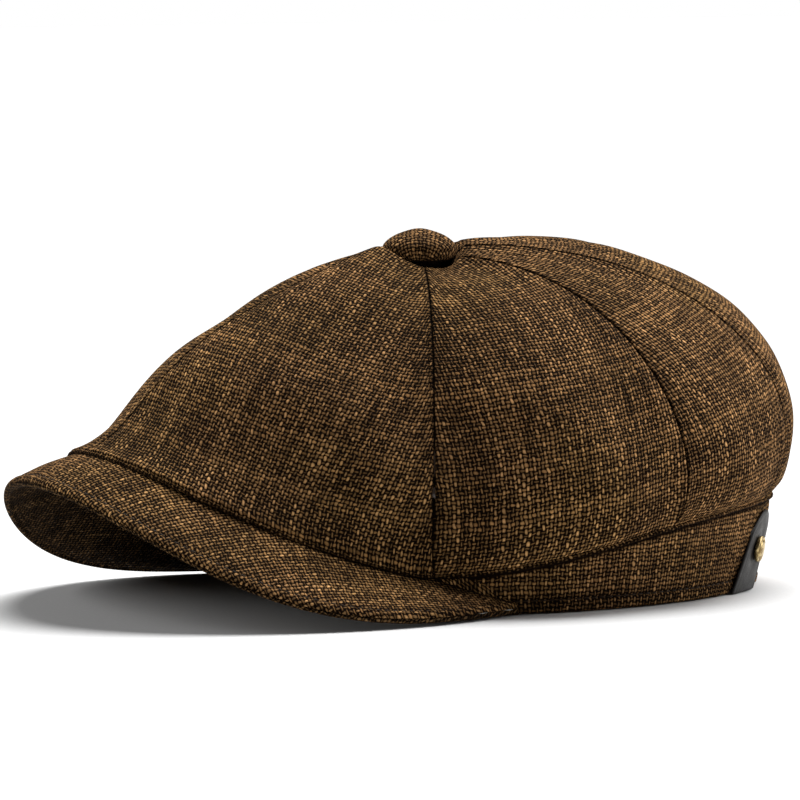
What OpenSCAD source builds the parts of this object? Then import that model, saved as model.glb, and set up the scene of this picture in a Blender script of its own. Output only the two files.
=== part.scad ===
// Newsboy cap: eight-panel crown, covered top button, snapped-down stiff brim,
// two-piece band with a gathered back, leather tabs with rivets, sweatband and lining.
// +Z is up, the brim points along -Y and the wearer's left is +X.

/* [Head opening] */
// Half length of the band's lower edge, front to back
head_a = 101; // [96:0.5:106]
// Half width of the band's lower edge
head_b = 83.8; // [80:0.2:88]
// Distance of the opening's centre behind the middle of the cap
ring_y = 25; // [22:0.1:28]

/* [Crown] */
// Height at which the front of the crown points at the button's axis
crown_top_front = 121.9; // [119:0.1:123]
// Height at which the sides of the crown point at the button's axis
crown_top_side = 112.6; // [111:0.1:115]
// Height at which the back of the crown points at the button's axis
crown_top_back = 118.1; // [116:0.1:120]
// Distance of the button behind the middle of the cap
button_y = 5.2; // [2:0.1:8]
// Thickness of the crown cloth with its interlining
cloth = 1.1; // [0.8:0.1:1.6]
// Gap between two neighbouring panels at their seam
seam_gap = 0.4; // [0.3:0.1:0.8]
// Angle round the opening of the seam in front of the ear
side_seam = 62; // [58:1:66]
// Angle round the opening of the seam behind the ear
rear_side_seam = 106; // [102:1:112]
// Angle round the opening of the rear seam
rear_seam = 142; // [138:1:150]
// How far the seam behind the ear swings back towards the button, as an angle
rear_side_bow = 24; // [0:1:26]
// How far the rear seam swings back towards the button, as an angle
rear_bow = 12; // [0:1:14]
// Share of the brim's depth that the crown covers at the front
fold_share = 0.68; // [0.5:0.01:0.75]
// Angle at which the crown leaves the brim and meets the band
fold_phi = 58; // [54:1:62]

/* [Band] */
// Height of the band seam at the back
band_back_h = 31; // [26:0.5:36]
// Height of the band seam where it meets the brim
band_front_h = 13.5; // [11:0.5:16]
// Height of the band's lower edge above the table
band_foot = 1.5; // [1.2:0.1:2]
// How far the band leans outward from its foot to its seam
band_flare = 5; // [3:0.5:7]
// Angle round the opening at which the gathered back section starts
back_phi = 150; // [148:1:165]

/* [Brim] */
// Angle round the opening at which the brim ends
brim_phi = 74.5; // [70:0.5:78]
// Height of the brim seam above the table at the front
arch_h = 56; // [48:1:60]
// Distance of the brim's tip in front of the middle of the cap
tip_y = 141; // [132:0.1:148]
// Height of the underside of the brim's tip
tip_z = 42; // [36:1:48]
// Thickness of the finished brim
brim_t = 3.7; // [3.2:0.1:4.5]

/* [Top button] */
// Radius of the covered button
button_r = 13; // [11:0.5:14]
// Height of the button's rim above the table
button_rim_z = 117.4; // [117:0.1:118]
// Height of the button's dome above its rim
button_dome = 6.6; // [5:0.2:8]
// Radius of the button's shank
shank_r = 2; // [1.5:0.1:2.5]

/* [Leather tabs] */
// Angle round the opening of a tab's middle
tab_phi = 139; // [136:1:140]
// Half width of a tab, as an angle
tab_half = 6.5; // [6:0.5:7]
// Slant of a tab towards the back, as an angle for each millimetre of height
tab_slant = 0.3; // [0:0.05:0.35]
// Height of a tab
tab_h = 27; // [24:0.5:27.5]
// Radius of the rivet cap
rivet_r = 4.5; // [3.5:0.1:5]

/* [Hidden] */
$fn = 96;
arch_pow = 1.8;
brim_hump = 4;
band_cloth = 1.2;
layer_gap = 0.3;
stiff_t = 0.8;
sweat_t = 1;
sweat_in = band_cloth + stiff_t + 3 * layer_gap;
sweat_h = 30;
sweat_front_rise = 44;
lining_t = 0.6;
lining_drop = 6.4;
seat_z = 109.8;
seat_from = 3.5;
seat_run = 6;
tab_t = 1.4;
rivet_z = 14.5;
post_r = 1.5;
run_gap = 0.05;
// Turned-out control points of the brim's edge, from its flat tip round to its end.
edge_pts = [
  [0, -tip_y, tip_z], [44, -tip_y, tip_z], [76, -114.5, 18],
  [98, -97, -5.5], [108, -49.5, 1.5], [ring_x(brim_phi, 0.6), ring_line(brim_phi, 0.6), 0.4]
];
// Crown profile at the front, the side and the back: reach and lift of the upper
// control point, then reach and lift of the lower one.
reach_top = [0.39, 0.60, 0.78];
lift_top = [-8, -1.8, 10.1];
reach_low = [-4.1, 21.1, 30.7];
lift_low = [9.2, 22.4, 54.1];
// The lining hangs slacker: reach and lift of its lower control point.
lining_reach = [0, 0, 22];
lining_lift = [8, 14, 40];

cloth_col = [0.36, 0.28, 0.2];
under_col = [0.28, 0.21, 0.15];
leather_col = [0.2, 0.18, 0.16];
brass_col = [0.55, 0.44, 0.24];
lining_col = [0.3, 0.22, 0.16];
board_col = [0.75, 0.74, 0.7];

// Plan of the head opening, an oval grown by g.
function ring_x(phi, g) = (head_b + g) * sin(phi);
function ring_line(phi, g) = ring_y - (head_a + g) * cos(phi);
function ring_pt(phi, g, z) = [ring_x(phi, g), ring_line(phi, g), z];
function mix(p, q, s) = p * (1 - s) + q * s;
function clamp01(s) = min(max(s, 0), 1);
function ease(s) = let (k = clamp01(s)) k * k * (3 - 2 * k);
function unit(v) = v / norm(v);
function side_sign(phi) = phi < 0 ? -1 : 1;

// Value at the front, side and back, blended round the opening.
function around(v, phi) = let (c = cos(phi))
  v[0] * pow(max(c, 0), 2) + v[1] * (1 - c * c) + v[2] * pow(max(-c, 0), 2);

// Height of the brim seam along the opening.
function seam_z(phi) = abs(phi) >= brim_phi ? 0
  : arch_h * (1 - pow(abs(sin(phi)) / sin(brim_phi), arch_pow));

// Bezier curve of any degree through its control points.
function bezier(p, s) = len(p) == 1 ? p[0]
  : bezier([for (i = [0 : len(p) - 2]) mix(p[i], p[i + 1], s)], s);
function brim_edge(phi) = let (p = bezier(edge_pts, abs(phi) / brim_phi))
  [side_sign(phi) * p[0], p[1], p[2]];

// Brim surface: w runs from the seam to the edge, h is the height above the underside.
function brim_pt(phi, w, h) = let (
    base = mix(ring_pt(phi, 0.6, seam_z(phi)), brim_edge(phi), w),
    hump = brim_hump * 4 * w * (1 - w) * pow(cos(phi * 90 / brim_phi), 2),
    sink = (brim_t - 1) * (1 - w) * clamp01(seam_z(phi) / 14)
  ) base + [0, 0, hump - sink + h];
function fold_w(phi) = fold_share * pow(1 - pow(min(abs(phi) / fold_phi, 1), 1.6), 0.6);

// Seam between the crown and the band.
function band_top_z(phi) = let (q = (abs(phi) - fold_phi) / (180 - fold_phi) * 180)
  abs(phi) >= fold_phi
    ? band_back_h - (band_back_h - band_front_h) * pow((1 + cos(q)) / 2, 3.3)
    : seam_z(phi) + 2 + 11 * ease((fold_phi - abs(phi)) / 28);
function band_lean(phi) = band_flare * ease((abs(phi) - fold_phi) / 36);

// Lower edge of the crown: on the brim at the front, on the band elsewhere.
function crown_foot(phi) = abs(phi) < fold_phi
  ? brim_pt(phi, fold_w(phi), brim_t + 1.4)
  : ring_pt(phi, band_lean(phi) + 0.3, band_top_z(phi) + 0.5);
// The lining is sewn along the top edge of the sweatband.
function arch_share(x) = 1 - pow(min(abs(x) / (head_b * sin(brim_phi)), 1), arch_pow);
function sweat_top_z(phi) = sweat_h
  + (abs(phi) < brim_phi ? sweat_front_rise * arch_share(ring_x(phi, -sweat_in - sweat_t)) : 0);
function lining_foot(phi) = ring_pt(phi, -sweat_in - sweat_t / 2, sweat_top_z(phi) + 1.4);

// One profile of a dome from its top to its foot.
function dome_line(top, foot, phi, t, reach, lift) = let (
    flat = [foot[0] - top[0], foot[1] - top[1], 0],
    dir = unit(flat),
    p1 = top + flat * around(reach_top, phi) + [0, 0, around(lift_top, phi)],
    p2 = foot + dir * around(reach, phi) + [0, 0, around(lift, phi)]
  ) bezier([top, p1, p2, foot], t);
// The button pulls the middle of the crown down into a shallow seat.
function dimple(p, seat) = let (
    r = norm([p[0], p[1] - button_y]),
    low = seat + 1.2 * pow(r / button_r, 2)
  ) [p[0], p[1], mix(low, p[2], ease((r - button_r + seat_from) / seat_run))];
function apex(phi) =
  [0, button_y, around([crown_top_front, crown_top_side, crown_top_back], phi)];
function crown_pt(phi, t) =
  dimple(dome_line(apex(phi), crown_foot(phi), phi, t, reach_low, lift_low), seat_z);
function lining_pt(phi, t) =
  dome_line([0, button_y, seat_z - lining_drop], lining_foot(phi), phi, t, lining_reach, lining_lift);

// Direction pointing straight out of the crown.
function crown_out(phi, t) = let (e = 0.5, d = 0.004)
  unit(cross(crown_pt(phi, t + d) - crown_pt(phi, t - d), crown_pt(phi + e, t) - crown_pt(phi - e, t)));

// Row positions down a panel, closer together near the top and the foot.
rows = 13;
function row_t(i) = mix(0.035, 1, (1 - cos(180 * i / rows)) / 2 * 0.6 + i / rows * 0.4);

// Point of a panel edge moved sideways off the seam by half the gap.
function edge_shift(phi, t, toward) = let (
    p = crown_pt(phi, t),
    r = unit([p[0], p[1] - button_y, 0])
  ) [-r[1], r[0], 0] * toward * seam_gap / 2;
// Each edge of a panel is [angle at its foot, swing towards the button].
function edge_phi(edge, t) = edge[0] + edge[1] * pow(1 - t, 2);
function panel_grid(from, to, cols, depth) = [
  for (j = [0 : cols]) [
    for (i = [0 : rows]) let (
        t = row_t(i),
        phi = mix(edge_phi(from, t), edge_phi(to, t), j / cols),
        toward = j == 0 ? 1 : j == cols ? -1 : 0
      ) crown_pt(phi, t) - crown_out(phi, t) * depth + edge_shift(phi, t, toward)
  ]
];

// Closed shell between two grids of points of the same size.
module shell(outer, inner) {
  nu = len(outer);
  nv = len(outer[0]);
  all = nu * nv;
  pts = concat([for (row = outer) each row], [for (row = inner) each row]);
  quads = concat(
    [for (i = [0 : nu - 2], j = [0 : nv - 2])
      [i * nv + j, i * nv + j + 1, (i + 1) * nv + j + 1, (i + 1) * nv + j]],
    [for (i = [0 : nu - 2], j = [0 : nv - 2])
      [all + i * nv + j, all + (i + 1) * nv + j, all + (i + 1) * nv + j + 1, all + i * nv + j + 1]],
    [for (i = [0 : nu - 2]) [i * nv, (i + 1) * nv, all + (i + 1) * nv, all + i * nv]],
    [for (i = [0 : nu - 2])
      [i * nv + nv - 1, all + i * nv + nv - 1, all + (i + 1) * nv + nv - 1, (i + 1) * nv + nv - 1]],
    [for (j = [0 : nv - 2]) [j, all + j, all + j + 1, j + 1]],
    [for (j = [0 : nv - 2]) let (k = (nu - 1) * nv + j) [k, k + 1, all + k + 1, all + k]]
  );
  polyhedron(pts, [for (q = quads) each [[q[0], q[2], q[1]], [q[0], q[3], q[2]]]]);
}

module panel(from, to, cols) {
  color(cloth_col) shell(panel_grid(from, to, cols, 0), panel_grid(from, to, cols, cloth));
}
seam_a = [side_seam, 0];
seam_b = [rear_side_seam, rear_side_bow];
seam_c = [rear_seam, rear_bow];
module crown_front_left() { panel([0, 0], seam_a, 9); }
module crown_front_right() { panel(-seam_a, [0, 0], 9); }
module crown_side_left() { panel(seam_a, seam_b, 7); }
module crown_side_right() { panel(-seam_b, -seam_a, 7); }
module crown_rear_side_left() { panel(seam_b, seam_c, 6); }
module crown_rear_side_right() { panel(-seam_c, -seam_b, 6); }
module crown_rear_left() { panel(seam_c, [180, 0], 6); }
module crown_rear_right() { panel([-180, 0], -seam_c, 6); }

// Round parts of the button, all on its own axis.
module on_button_axis(z) { translate([0, button_y, z]) children(); }
module dome_section(r, up, down, foot_r) {
  steps = 14;
  polygon(concat(
    [[0, -down], [foot_r, -down]],
    [for (i = [0 : steps]) let (a = 90 * i / steps)
      [r * cos(a), up * sin(a)]]
  ));
}
module button_cover() {
  color(cloth_col) on_button_axis(button_rim_z) rotate_extrude() difference() {
    dome_section(button_r, button_dome, 4.6, 7);
    dome_section(button_r - 1, button_dome - 1, 4.7, 5.8);
  }
}
module button_core() {
  color(board_col) on_button_axis(button_rim_z) rotate_extrude() difference() {
    dome_section(button_r - 1.4, button_dome - 1.4, 4.2, 5.4);
    translate([-1, -5]) square([1 + shank_r + run_gap, 6]);
  }
}
module button_shank() {
  color(brass_col) on_button_axis(seat_z - 5)
    cylinder(r = shank_r, h = button_rim_z + 0.9 - seat_z + 5);
}
module button_washer() {
  color(brass_col) on_button_axis(seat_z - 4.4) difference() {
    cylinder(r = 6.5, h = 1);
    translate([0, 0, -1]) cylinder(r = shank_r + run_gap, h = 3);
  }
}
module crown_tip_patch() {
  color(leather_col) on_button_axis(seat_z - 2.9) difference() {
    cylinder(r = 10, h = 1);
    translate([0, 0, -1]) cylinder(r = shank_r + run_gap, h = 3);
  }
}

// Brim layers, each a shell between two heights above the underside.
module brim_layer(low, high, w_out, cols) {
  depth_rows = 8;
  function layer(h) = [
    for (j = [0 : cols]) [
      for (i = [0 : depth_rows])
        brim_pt(mix(-brim_phi, brim_phi, j / cols) * (w_out < 1 ? 0.985 : 0.996),
                i / depth_rows * w_out, h)
    ]
  ];
  shell(layer(high), layer(low));
}
module brim_top_cover() { color(cloth_col) brim_layer(brim_t - 1, brim_t, 1, 32); }
module brim_board() { color(board_col) brim_layer(1.1, brim_t - 1.2, 0.97, 32); }
module brim_under_cover() { color(under_col) brim_layer(0, 0.9, 1, 32); }

// Band layers lean outward from the foot to the crown seam.
module band_layer(from, to, cols, inset, thick, foot_up, top_down) {
  height_rows = 3;
  function wall(g) = [
    for (j = [0 : cols]) let (phi = mix(from, to, j / cols)) [
      for (i = [0 : height_rows]) let (
          low = max(band_foot, seam_z(phi) + 0.3),
          top = band_top_z(phi),
          z = mix(top - top_down, low + foot_up, i / height_rows)
        ) ring_pt(phi, band_lean(phi) * (z - low) / (top - low) - g, z)
    ]
  ];
  shell(wall(inset), wall(inset + thick));
}
function rivet_lean(z) = band_flare * (z - band_foot) / (band_back_h - band_foot);
// Frame on the band's face at the middle of a tab, with +Z pointing out of the face.
module at_rivet(side) {
  dir = [sin(tab_phi) / head_b, -cos(tab_phi) / head_a, 0];
  translate(ring_pt(side * tab_phi, rivet_lean(rivet_z), rivet_z))
    rotate([0, 0, atan2(dir[1], side * dir[0])])
      rotate([0, 90 + atan(band_flare / (band_back_h - band_foot)), 0])
        children();
}
module rivet_holes() {
  for (side = [-1, 1]) at_rivet(side) translate([0, 0, -6]) cylinder(r = post_r + run_gap, h = 12);
}
module band_half(from, to) {
  color(cloth_col) difference() {
    band_layer(from, to, 30, 0, band_cloth, 0, 0);
    rivet_holes();
  }
}
module band_left() { band_half(0.1, back_phi - 0.15); }
module band_right() { band_half(-back_phi + 0.15, -0.1); }
module band_back() {
  color(cloth_col) band_layer(back_phi + 0.15, 360 - back_phi - 0.15, 12, 0, band_cloth, 0, 0);
}
module band_stiffener() {
  color(board_col) difference() {
    band_layer(-back_phi + 1, back_phi - 1, 60, band_cloth + layer_gap, stiff_t, 2, 1);
    rivet_holes();
  }
}
module back_elastic() {
  color(board_col)
    band_layer(back_phi + 0.5, 360 - back_phi - 0.5, 12, band_cloth + layer_gap, stiff_t, 5, 3);
}

// Sweatband: an upright oval strip with a flat foot, arched over the brim at the front.
function oval(g) = [for (i = [0 : 119]) [ring_x(i * 3, g), ring_line(i * 3, g)]];
function arch_line(base, rise) = [
  for (i = [-24 : 24]) let (x = i / 24 * head_b * sin(brim_phi))
    [x, base + rise * (1 - pow(abs(i) / 24, arch_pow))]
];
module front_strip(low, low_rise, high, high_rise) {
  translate([0, ring_line(brim_phi, 0), 0]) rotate([90, 0, 0]) linear_extrude(120)
    polygon(concat(
      [[-head_b - 5, low]], arch_line(low, low_rise), [[head_b + 5, low]], [[head_b + 5, high]],
      [for (i = [48 : -1 : 0]) arch_line(high, high_rise)[i]], [[-head_b - 5, high]]
    ));
}
module sweatband() {
  color(leather_col) intersection() {
    linear_extrude(100) difference() {
      polygon(oval(-sweat_in));
      polygon(oval(-sweat_in - sweat_t));
    }
    union() {
      front_strip(0, arch_h - 2, sweat_h, sweat_front_rise);
      translate([-head_b - 5, ring_line(brim_phi, 0), 0]) cube([2 * head_b + 10, 140, sweat_h]);
    }
  }
}

// Lining: two halves of a smaller dome hung inside the crown.
module lining_half(from, to) {
  cols = 22;
  function sheet(depth) = [
    for (j = [0 : cols]) [
      for (i = [0 : rows]) let (
          t = mix(0.02, 1, i / rows),
          p = lining_pt(mix(from, to, j / cols), t)
        ) mix(p, [0, button_y, 40], depth / norm(p - [0, button_y, 40]))
    ]
  ];
  color(lining_col) shell(sheet(0), sheet(lining_t));
}
module lining_left() { lining_half(0.4, 179.6); }
module lining_right() { lining_half(-179.6, -0.4); }

// Leather tab: a strap end with a rounded top that turns under the band's foot.
module tab(side) {
  cols = 10;
  tab_rows = 5;
  function tab_top(k) = tab_h * (0.68 + 0.32 * sqrt(max(1 - k * k, 0)));
  function face(g) = [
    for (j = [0 : cols]) let (k = (2 * j / cols - 1) * side) [
      for (i = [0 : tab_rows]) let (
          z = mix(tab_top(k), 0.1, i / tab_rows),
          phi = side * (tab_phi + k * tab_half + tab_slant * (z - rivet_z))
        ) ring_pt(phi, rivet_lean(z) + g, z)
    ]
  ];
  color(leather_col) difference() {
    shell(face(layer_gap + tab_t), face(layer_gap));
    rivet_holes();
  }
}
module tab_left() { tab(1); }
module tab_right() { tab(-1); }

// Rivet: a domed cap with a raised rim on a post, closed by a washer inside the band.
module rivet(side) {
  color(brass_col) at_rivet(side) rotate_extrude() polygon([
    [0, -4.4], [post_r, -4.4], [post_r, 1.95], [rivet_r, 1.95], [rivet_r, 2.7],
    [rivet_r - 0.4, 3.1], [rivet_r - 0.9, 3.1], [rivet_r - 1.2, 2.8],
    for (i = [1 : 6]) let (a = 15 * i) [(rivet_r - 1.2) * cos(a), 2.8 + 1.1 * sin(a)]
  ]);
}
module rivet_washer(side) {
  color(brass_col) at_rivet(side) translate([0, 0, -3.2]) difference() {
    cylinder(r = 3.2, h = 0.5);
    translate([0, 0, -1]) cylinder(r = post_r + run_gap, h = 3);
  }
}
module rivet_left() { rivet(1); }
module rivet_right() { rivet(-1); }
module rivet_washer_left() { rivet_washer(1); }
module rivet_washer_right() { rivet_washer(-1); }

crown_front_left();
crown_front_right();
crown_side_left();
crown_side_right();
crown_rear_side_left();
crown_rear_side_right();
crown_rear_left();
crown_rear_right();
button_cover();
button_core();
button_shank();
button_washer();
crown_tip_patch();
brim_top_cover();
brim_board();
brim_under_cover();
band_left();
band_right();
band_back();
band_stiffener();
back_elastic();
sweatband();
lining_left();
lining_right();
tab_left();
tab_right();
rivet_left();
rivet_right();
rivet_washer_left();
rivet_washer_right();
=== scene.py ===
import math

import bmesh
import bpy
import numpy as np
from mathutils import Matrix, Vector


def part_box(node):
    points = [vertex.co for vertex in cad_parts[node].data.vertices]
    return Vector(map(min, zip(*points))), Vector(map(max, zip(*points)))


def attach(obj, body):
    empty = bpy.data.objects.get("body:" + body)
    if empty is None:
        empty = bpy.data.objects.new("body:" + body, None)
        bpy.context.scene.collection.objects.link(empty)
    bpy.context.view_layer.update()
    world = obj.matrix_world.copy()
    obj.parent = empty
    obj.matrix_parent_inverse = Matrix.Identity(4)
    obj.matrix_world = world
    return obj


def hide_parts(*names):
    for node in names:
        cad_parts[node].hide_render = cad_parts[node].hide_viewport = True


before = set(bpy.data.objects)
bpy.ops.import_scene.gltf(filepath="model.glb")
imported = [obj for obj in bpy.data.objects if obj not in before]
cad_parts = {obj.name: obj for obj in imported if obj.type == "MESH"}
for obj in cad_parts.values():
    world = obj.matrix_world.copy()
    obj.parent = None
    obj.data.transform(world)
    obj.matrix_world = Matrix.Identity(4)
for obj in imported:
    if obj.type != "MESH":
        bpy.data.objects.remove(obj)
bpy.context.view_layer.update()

# The cap's surfaces are worked out in millimetres, as its CAD source does, and made in metres.
MM = 0.001
CAP = "cap"
BUTTON = "top_button"


def box_mm(node):
    """Lowest and highest corner of a CAD node, in millimetres."""
    low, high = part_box(node)
    return np.array(low) / MM, np.array(high) / MM


# ---------------------------------------------------------------- sizes
# Sizes read off the CAD nodes, in millimetres.
SWEAT_HIGH = box_mm("sweatband")[1]
BUTTON_LOW, BUTTON_HIGH = box_mm("button_cover")
BRIM_LOW = box_mm("brim_top_cover")[0]
SHANK_LOW = box_mm("button_shank")[0]

# Sizes the CAD source names, in millimetres and degrees. Angles run round the opening from the front.
SWEAT_IN = 2.9
SWEAT_T = 1.0
HEAD_B = SWEAT_HIGH[0] + SWEAT_IN
RING_Y = 25.0
HEAD_A = SWEAT_HIGH[1] - RING_Y + SWEAT_IN
BUTTON_R = BUTTON_HIGH[0]
BUTTON_Y = (BUTTON_LOW[1] + BUTTON_HIGH[1]) / 2
BUTTON_TOP = BUTTON_HIGH[2]
BUTTON_DOME = 6.6
BUTTON_SIDE = 4.6
SHANK_BELOW_SEAT = 5.0
SEAT_Z = SHANK_LOW[2] + SHANK_BELOW_SEAT
TIP_Y = -BRIM_LOW[1]

TOP_FRONT, TOP_SIDE, TOP_BACK = 121.9, 112.6, 118.1
# Each crown seam: its angle at the foot, and its swing towards the button. The CAD source has the
# second one straight, at 62 degrees. Here it is where the real cap has it.
SEAMS = ((0.0, 0.0), (58.0, 5.0), (106.0, 24.0), (142.0, 12.0), (180.0, 0.0))
FOLD_SHARE = 0.68
FOLD_PHI = 58.0
BAND_BACK_H = 31.0
BAND_FRONT_H = 13.5
BAND_FOOT = 1.5
BAND_FLARE = 5.0
BACK_PHI = 150.0
BRIM_PHI = 74.5
ARCH_H = 56.0
ARCH_POW = 1.8
TIP_Z = 42.0
BRIM_T = 3.7
BRIM_HUMP = 4.0
TAB_PHI = 139.0
TAB_HALF = 6.5
TAB_SLANT = 0.3
TAB_H = 27.0
TAB_T = 1.4
RIVET_Z = 14.5
RIVET_R = 4.5
SWEAT_H = 30.0
# The crown's seat under the button: where it starts to rise, and over how far.
SEAT_FROM, SEAT_RUN = 9.5, 6.0
# Swell of the front cloth off its plain dome, as the sizes of one, two, three and four half waves.
FRONT_SHAPE = (-0.2, 2.4, -2.8, -0.1)
# How far the middle of a panel stands off its plain dome.
PUFF = 1.1
SWEAT_RISE = 44.0
LINING_DROP = 6.4
# Crown profile at the front, side and back: reach and lift of its two control points.
REACH_TOP = (0.39, 0.60, 0.78)
LIFT_TOP = (-8.0, -1.8, 10.1)
REACH_LOW = (-4.1, 21.1, 30.7)
LIFT_LOW = (9.2, 22.4, 54.1)
LINING_REACH = (0.0, 0.0, 22.0)
LINING_LIFT = (8.0, 14.0, 40.0)


# ---------------------------------------------------------------- shape of the cap
def sind(angle):
    return np.sin(np.radians(angle))


def cosd(angle):
    return np.cos(np.radians(angle))


def mix(a, b, s):
    return a + (b - a) * s


def ease(s):
    s = np.clip(s, 0, 1)
    return s * s * (3 - 2 * s)


def bump(distance, width):
    """A soft hill one high at distance nought."""
    return np.exp(-((distance / width) ** 2))


def unit(v):
    return v / np.maximum(np.linalg.norm(v, axis=-1, keepdims=True), 1e-9)


def xyz(x, y, z):
    return np.stack(np.broadcast_arrays(x, y, z), -1).astype(float)


def ring(phi, g, z):
    """Point on the head opening's oval, grown by g, at height z."""
    return xyz((HEAD_B + g) * sind(phi), RING_Y - (HEAD_A + g) * cosd(phi), z)


def around(values, phi):
    """Value at the front, side and back, blended round the opening."""
    c = cosd(phi)
    front, side, back = values
    return front * np.maximum(c, 0) ** 2 + side * (1 - c * c) + back * np.maximum(-c, 0) ** 2


def seam_z(phi):
    """Height of the brim's seam."""
    share = np.minimum(np.abs(sind(phi)) / sind(BRIM_PHI), 1)
    return np.where(np.abs(phi) >= BRIM_PHI, 0, ARCH_H * (1 - share ** ARCH_POW))


def bezier(points, s):
    """Bezier curve of any degree; s is an array."""
    work = [p + 0 * s[..., None] for p in points]
    while len(work) > 1:
        work = [mix(a, b, s[..., None]) for a, b in zip(work, work[1:])]
    return work[0]


def brim_edge(phi):
    end = ring(np.array(BRIM_PHI), 0.6, 0.4)
    points = [
        np.array([0, -TIP_Y, TIP_Z]), np.array([44, -TIP_Y, TIP_Z]), np.array([76, -114.5, 18]),
        np.array([98, -97, -5.5]), np.array([108, -49.5, 1.5]), end,
    ]
    p = bezier(points, np.abs(phi) / BRIM_PHI)
    return p * xyz(np.where(phi < 0, -1, 1), 1, 1)


def brim_pt(phi, w, h):
    """w runs from the brim's seam to its edge, h is the height above the underside."""
    base = mix(ring(phi, 0.6, seam_z(phi)), brim_edge(phi + 0 * w), (w + 0 * phi)[..., None])
    hump = BRIM_HUMP * 4 * w * (1 - w) * cosd(phi * 90 / BRIM_PHI) ** 2
    sink = (BRIM_T - 1) * (1 - w) * np.clip(seam_z(phi) / 14, 0, 1)
    return base + xyz(0, 0, hump - sink + h)


def fold_w(phi):
    return FOLD_SHARE * (1 - np.minimum(np.abs(phi) / FOLD_PHI, 1) ** 1.6) ** 0.6


def band_top_z(phi):
    size = np.abs(phi)
    q = (size - FOLD_PHI) / (180 - FOLD_PHI) * 180
    back = BAND_BACK_H - (BAND_BACK_H - BAND_FRONT_H) * ((1 + cosd(np.clip(q, 0, 180))) / 2) ** 3.3
    front = seam_z(phi) + 2 + 11 * ease((FOLD_PHI - size) / 28)
    return np.where(size >= FOLD_PHI, back, front)


def band_lean(phi):
    return BAND_FLARE * ease((np.abs(phi) - FOLD_PHI) / 36)


def band_low(phi):
    return np.maximum(BAND_FOOT, seam_z(phi) + 0.3)


def band_pt(phi, share, g):
    """Point on the band's face: share runs from the foot to the crown seam, g stands out of it."""
    low = band_low(phi)
    return ring(phi, band_lean(phi) * share + g, mix(low, band_top_z(phi), share))


def crown_foot(phi):
    on_brim = brim_pt(phi, fold_w(phi), BRIM_T + 1.4)
    on_band = ring(phi, band_lean(phi) + 0.3, band_top_z(phi) + 0.5)
    return np.where((np.abs(phi) < FOLD_PHI)[..., None], on_brim, on_band)


def dome_line(top, foot, phi, t, reach, lift):
    flat = (foot - top) * np.array([1, 1, 0])
    away = unit(flat)
    near = top + flat * around(REACH_TOP, phi)[..., None] + xyz(0, 0, around(LIFT_TOP, phi))
    low = foot + away * around(reach, phi)[..., None] + xyz(0, 0, around(lift, phi))
    s = t[..., None]
    return (top * (1 - s) ** 3 + near * 3 * s * (1 - s) ** 2
            + low * 3 * s * s * (1 - s) + foot * s ** 3)


def from_axis(p):
    return np.hypot(p[..., 0], p[..., 1] - BUTTON_Y)


def crown_pt(phi, t):
    phi, t = np.broadcast_arrays(np.asarray(phi, float), np.asarray(t, float))
    top = xyz(0, BUTTON_Y, around((TOP_FRONT, TOP_SIDE, TOP_BACK), phi))
    p = dome_line(top, crown_foot(phi), phi, t, REACH_LOW, LIFT_LOW)
    r = from_axis(p)
    seat = SEAT_Z + 1.2 * (r / BUTTON_R) ** 2
    p[..., 2] = mix(seat, p[..., 2], ease((r - SEAT_FROM) / SEAT_RUN))
    return p


def crown_normal(phi, t):
    e, d = 0.4, 0.004
    down = crown_pt(phi, np.minimum(t + d, 1)) - crown_pt(phi, t - d)
    across = crown_pt(phi + e, t) - crown_pt(phi - e, t)
    return unit(np.cross(down, across))


def arch_share(x):
    return 1 - np.minimum(np.abs(x) / (HEAD_B * sind(BRIM_PHI)), 1) ** ARCH_POW


def sweat_edges(phi):
    """Heights of the sweatband's lower and upper edge."""
    x = (HEAD_B - SWEAT_IN - SWEAT_T) * sind(phi)
    front = np.where(np.abs(phi) < BRIM_PHI, arch_share(x), 0)
    return (ARCH_H - 2) * front, SWEAT_H + SWEAT_RISE * front


def lining_pt(phi, t):
    phi, t = np.broadcast_arrays(np.asarray(phi, float), np.asarray(t, float))
    top = xyz(0, BUTTON_Y, SEAT_Z - LINING_DROP + 0 * phi)
    foot = ring(phi, -SWEAT_IN - SWEAT_T / 2, sweat_edges(phi)[1] + 1.4)
    return dome_line(top, foot, phi, t, LINING_REACH, LINING_LIFT)


def ripple(points, seed, length, amount):
    """Smooth seeded unevenness of about that wavelength, the same wherever pieces meet."""
    rng = np.random.default_rng(seed)
    waves = 8
    total = np.zeros(points.shape[:-1])
    for _ in range(waves):
        direction = unit(rng.normal(size=3))
        step = 2 * math.pi / length * rng.uniform(0.65, 1.4)
        total += np.sin(points @ direction * step + rng.uniform(0, 2 * math.pi))
    return amount * total / math.sqrt(waves)


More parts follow.
